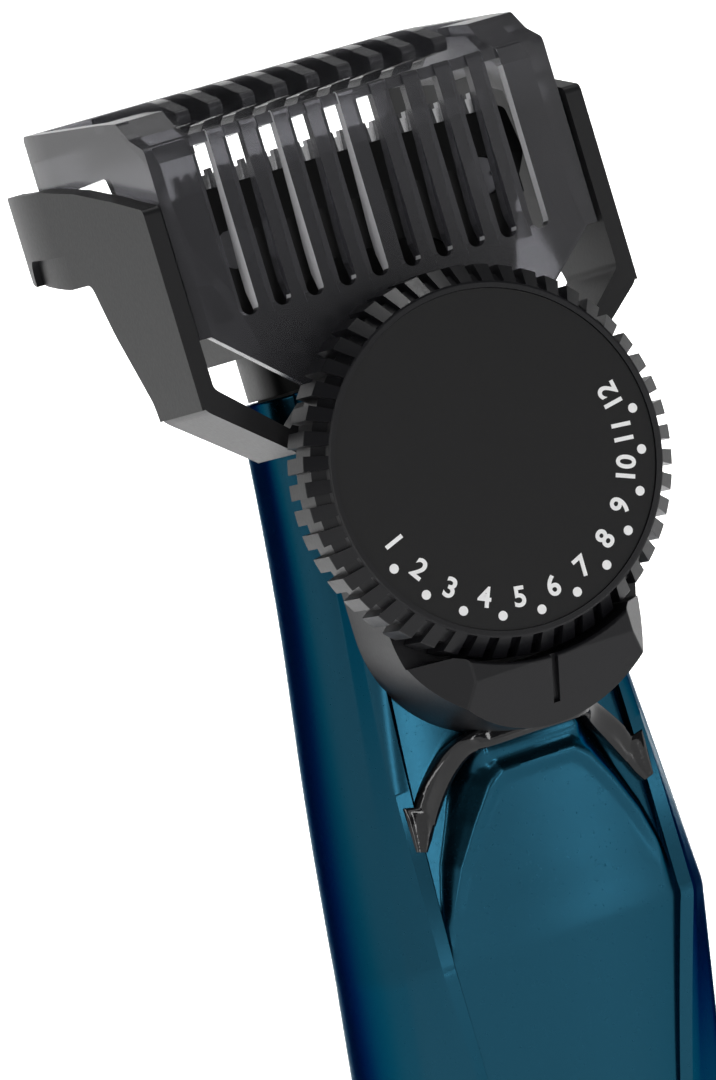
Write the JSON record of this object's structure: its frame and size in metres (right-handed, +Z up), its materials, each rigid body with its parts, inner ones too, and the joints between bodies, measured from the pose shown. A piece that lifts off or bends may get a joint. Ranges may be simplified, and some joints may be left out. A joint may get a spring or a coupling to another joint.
{
  "type": "beard trimmer",
  "caption": "Handheld beard trimmer: curved grip, toothed length dial that drives a sliding yoke, and a smoked clip-on comb over an oscillating blade.",
  "frame": {"origin": "centre of the flat base, on the surface it stands on", "axes": "+Z up the grip, +X to the right when the dial faces the viewer, -Y out of the dial's side"},
  "size_m": [0.0474, 0.0714, 0.1739],
  "materials": {
    "body_blue": "metallic satin lacquer on plastic",
    "gloss_black": "polished black",
    "black_plastic": "fine matt black",
    "dial_black": "satin black",
    "dial_face": "fine spark-eroded black",
    "yoke_black": "satin black",
    "smoke_clear": "smoked translucent plastic",
    "clear_plastic": "clear",
    "white_plastic": "natural acetal",
    "blade_steel": "ground",
    "spring_steel": "spring strip",
    "screw_steel": "plated",
    "motor_steel": "zinc plated",
    "contact_nickel": "nickel strip",
    "cell_can": "sleeved can",
    "contact_brass": "plated",
    "gear_brass": "machined",
    "board_green": "solder mask",
    "switch_black": "moulded",
    "soft_rubber": "soft"
  },
  "bodies": {
    "housing": {"front_housing": "body_blue", "rear_housing": "body_blue", "chassis": "black_plastic", "trim_band": "gloss_black", "base_cap": "black_plastic", "base_screw": "screw_steel", "housing_screws": "screw_steel", "socket_body": "black_plastic", "socket_contact": "contact_brass", "battery_cell": "cell_can", "battery_tabs": "contact_nickel", "circuit_board": "board_green", "tact_switch": "switch_black", "button_seal": "soft_rubber", "led_light_pipe": "clear_plastic", "head_block": "black_plastic", "detent_ring": "white_plastic", "index_cradle": "dial_black", "guide_rails": "black_plastic", "fixed_blade": "blade_steel", "blade_spring": "spring_steel", "blade_screws": "screw_steel", "motor_can": "motor_steel", "motor_mount": "white_plastic", "drive_seal": "soft_rubber", "neck_gasket": "soft_rubber"},
    "dial": {"dial_knob": "dial_black", "dial_face_disc": "dial_face", "dial_spindle": "white_plastic", "drive_pinion": "gear_brass", "dial_screw": "screw_steel", "detent_spring": "spring_steel"},
    "comb_carriage": {"rack_slider": "white_plastic", "comb_yoke": "yoke_black"},
    "comb": {"guide_comb": "smoke_clear"},
    "cutter": {"moving_blade": "blade_steel", "blade_carrier": "white_plastic"},
    "rotor": {"motor_shaft": "motor_steel", "eccentric": "white_plastic"},
    "button": {"power_button": "gloss_black"}
  },
  "joints": [
    {"name": "dial_turn", "type": "hinge", "parent": "housing", "child": "dial", "pos_m": [0, -0.0136, 0.1406], "axis": [0, 0.9397, -0.342], "range_deg": [-69.75, 100.75]},
    {"name": "comb_slide", "type": "slide", "parent": "housing", "child": "comb_carriage", "axis": [0, 0.342, 0.9397], "range_m": [-0.0045, 0.0065]},
    {"name": "comb_lift_off", "type": "slide", "parent": "comb_carriage", "child": "comb", "axis": [0, 0.342, 0.9397], "range_m": [0, 0.036]},
    {"name": "blade_stroke", "type": "slide", "parent": "housing", "child": "cutter", "axis": [1, 0, 0], "range_m": [-0.00075, 0.00075]},
    {"name": "rotor_spin", "type": "hinge", "parent": "housing", "child": "rotor", "pos_m": [0, 0.01177, 0.13137], "axis": [0, 0.342, 0.9397], "continuous": true},
    {"name": "button_press", "type": "slide", "parent": "housing", "child": "button", "axis": [0, 1, 0], "range_m": [0, 0.0008], "stiffness_N_per_m": 900, "springref_m": -0.0005}
  ],
  "couplings": [
    {"joint": "dial_turn", "follows": "comb_slide", "rad_per_m": 270.53}
  ]
}
